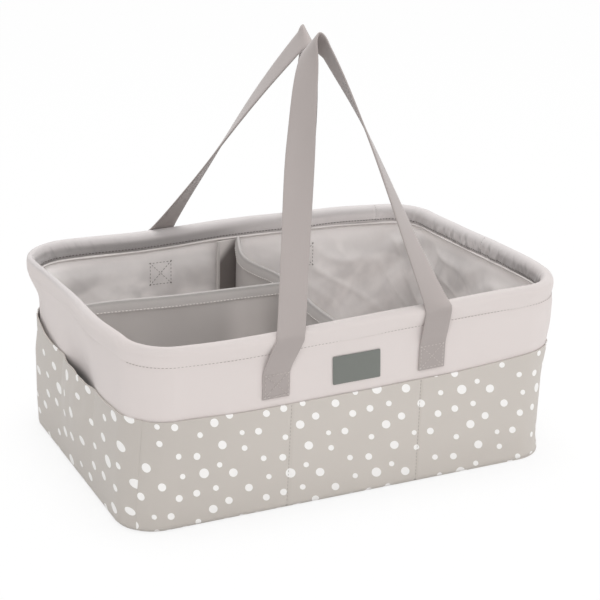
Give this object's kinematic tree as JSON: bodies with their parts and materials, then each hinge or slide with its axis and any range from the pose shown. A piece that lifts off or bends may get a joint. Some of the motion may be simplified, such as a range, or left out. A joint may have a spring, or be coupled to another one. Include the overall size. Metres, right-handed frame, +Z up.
{
  "type": "diaper caddy",
  "caption": "Soft rectangular diaper caddy with padded walls, a rolled rim, an outside pocket sleeve, webbing carry handles and a lift-out divider insert.",
  "frame": {"origin": "on the floor, under the middle of the caddy's base", "axes": "+X along the caddy's long side to the right as seen from the front, +Y from the front to the back, +Z up; the labelled front faces -Y"},
  "size_m": [0.4258, 0.3, 0.3817],
  "materials": {
    "wall_fabric": "pale pinkish grey fine plain weave",
    "dotted_fabric": "warm grey plain weave with scattered white dots",
    "webbing": "grey woven webbing with a twill rib",
    "lining": "satin lining with a soft sheen",
    "binding": "smooth folded binding tape",
    "label": "dark grey woven patch, left bare",
    "fastener": "pale hook-and-loop tape",
    "foam": "off-white padding foam",
    "board": "grey stiffener board"
  },
  "bodies": {
    "caddy_body": {"base_fabric": "dotted_fabric", "base_board": "board", "base_lining": "lining", "outer_wall": "wall_fabric", "back_wall_foam": "foam", "left_wall_foam": "foam", "front_wall_foam": "foam", "right_wall_foam": "foam", "wall_lining": "lining", "rim_cover": "wall_fabric", "rim_foam": "foam", "rim_piping": "binding", "front_pocket": "dotted_fabric", "back_pocket": "dotted_fabric", "left_pocket": "dotted_fabric", "right_pocket": "dotted_fabric", "label": "label", "front_left_tab": "webbing", "front_right_tab": "webbing", "rear_left_tab": "webbing", "rear_right_tab": "webbing", "front_loop_tape": "fastener", "back_loop_tape": "fastener", "left_loop_tape": "fastener"},
    "front_handle": {"front_handle_strap": "webbing"},
    "rear_handle": {"rear_handle_strap": "webbing"},
    "divider_insert": {"cross_divider_core": "foam", "cross_divider_cover": "lining", "cross_divider_binding": "binding", "long_divider_core": "foam", "long_divider_cover": "lining", "long_divider_binding": "binding", "front_end_tape": "binding", "back_end_tape": "binding", "left_end_tape": "binding", "front_hook_tape": "fastener", "back_hook_tape": "fastener", "left_hook_tape": "fastener"}
  },
  "joints": [
    {"name": "front_handle_swing", "type": "hinge", "parent": "caddy_body", "child": "front_handle", "pos_m": [0, -0.1467, 0.128], "axis": [1, 0, 0], "range_deg": [0, 138]},
    {"name": "rear_handle_swing", "type": "hinge", "parent": "caddy_body", "child": "rear_handle", "pos_m": [0, 0.1467, 0.128], "axis": [-1, 0, 0], "range_deg": [0, 138]},
    {"name": "divider_lift", "type": "slide", "parent": "caddy_body", "child": "divider_insert", "axis": [0, 0, 1], "range_m": [0, 0.16]}
  ]
}
